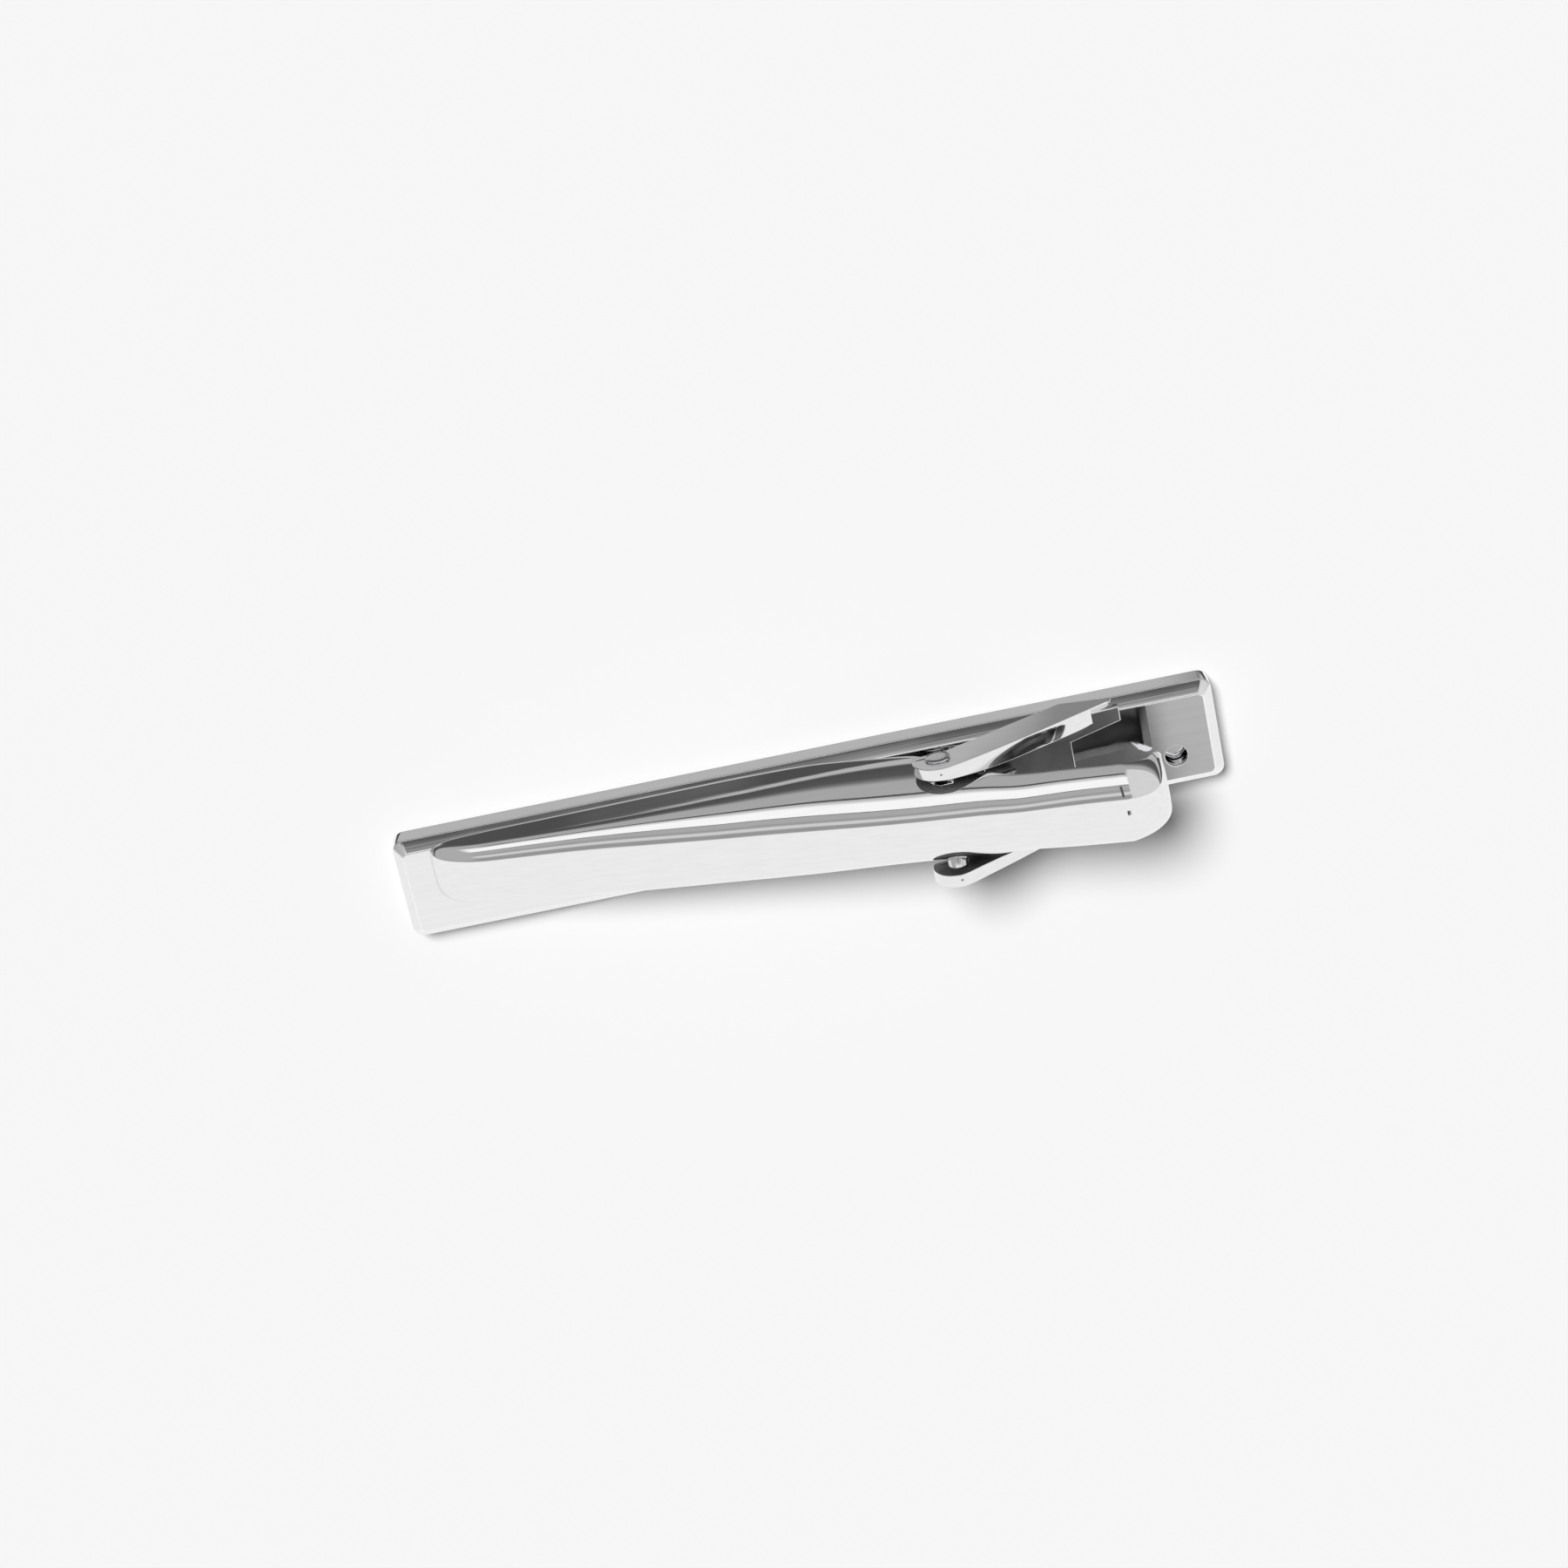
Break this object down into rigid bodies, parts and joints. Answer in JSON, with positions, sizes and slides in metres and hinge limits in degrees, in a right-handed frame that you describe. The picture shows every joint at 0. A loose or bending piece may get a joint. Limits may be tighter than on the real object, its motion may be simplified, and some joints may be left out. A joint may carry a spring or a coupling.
{
  "type": "tie clip",
  "caption": "Slim hollow tie bar with a sprung pinch clasp on its back: a tapered clamp arm on a riveted pin between two curved ears.",
  "frame": {"origin": "middle of the bounding box, at its lowest plane, where the pin's lower head stands", "axes": "+X along the bar from the jaw end to the thumb end, +Z across the bar's width, -Y out of the bar's back, on the clasp's side"},
  "size_m": [0.0502, 0.01, 0.0081],
  "materials": {
    "bar_front": "mirror polished",
    "bar_back": "mirror polished",
    "bracket": "mirror polished",
    "pin": "polished, riveted ends slightly dulled",
    "arm": "mirror polished",
    "spring": "drawn wire"
  },
  "bodies": {
    "bar": {"front_shell": "bar_front", "back_plate": "bar_back", "hinge_bracket": "bracket", "hinge_pin": "pin", "clasp_spring": "spring"},
    "arm": {"clamp_arm": "arm"}
  },
  "joints": [
    {"name": "clasp_hinge", "type": "hinge", "parent": "bar", "child": "arm", "pos_m": [0.0082, -0.00145, 0.00407], "axis": [0, 0, 1], "range_deg": [0, 16], "stiffness_Nm_per_rad": 0.01, "springref_deg": -20.05, "deforming": ["clasp_spring"]}
  ]
}
